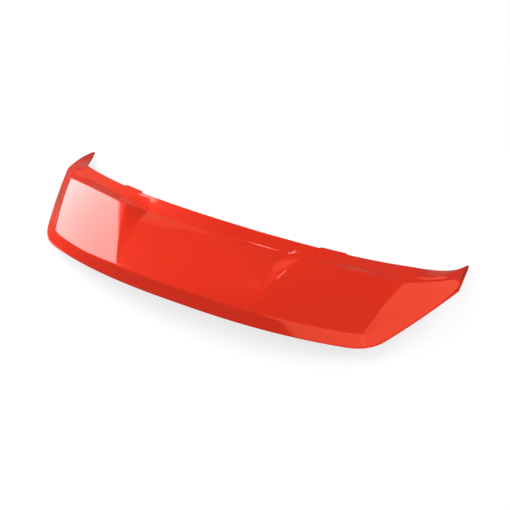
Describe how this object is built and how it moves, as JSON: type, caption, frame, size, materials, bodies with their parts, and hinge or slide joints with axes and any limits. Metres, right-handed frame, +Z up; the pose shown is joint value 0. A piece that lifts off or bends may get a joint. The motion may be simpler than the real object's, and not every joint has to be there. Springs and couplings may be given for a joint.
{
  "type": "hatchback tailgate spoiler",
  "caption": "Roof-edge spoiler for a hatchback tailgate: a hollow, dished blade of two bonded shells with raised side panels, side horns and a studded underside.",
  "frame": {"origin": "middle of the blade's front edge, where it meets the trailing edge of the car's roof", "axes": "+X across the car to its right as seen from behind the car, +Y towards the front of the car, +Z up"},
  "size_m": [1.14, 0.4924, 0.17],
  "materials": {
    "body_paint": "gloss metallic paint over moulded plastic",
    "tongue_paint": "gloss paint over moulded plastic",
    "underside_plastic": "fine-grained, unpainted",
    "foot_plastic": "satin, glass-filled",
    "rib_plastic": "as moulded",
    "adhesive": "cured structural adhesive",
    "stud_steel": "zinc plated",
    "pin_plastic": "smooth acetal",
    "clip_nylon": "natural nylon",
    "seal_foam": "closed-cell foam",
    "pad_rubber": "matt",
    "tape": "foam tape under a red liner"
  },
  "bodies": {
    "root": {"upper_shell": "body_paint", "lower_shell": "underside_plastic", "front_bond": "adhesive", "rear_bond": "adhesive", "ribs": "rib_plastic", "tongue_left": "tongue_paint", "tongue_right": "tongue_paint", "inner_feet": "foot_plastic", "outer_feet": "foot_plastic", "pin_feet": "foot_plastic", "foot_bonds": "adhesive", "inner_studs": "stud_steel", "outer_studs": "stud_steel", "locating_pins": "pin_plastic", "foot_seals": "seal_foam", "clip_towers": "foot_plastic", "edge_clips": "clip_nylon", "front_seal": "seal_foam", "heel_seal": "seal_foam", "end_tapes": "tape", "bump_pads": "pad_rubber", "drain_plugs": "pad_rubber"}
  },
  "joints": []
}
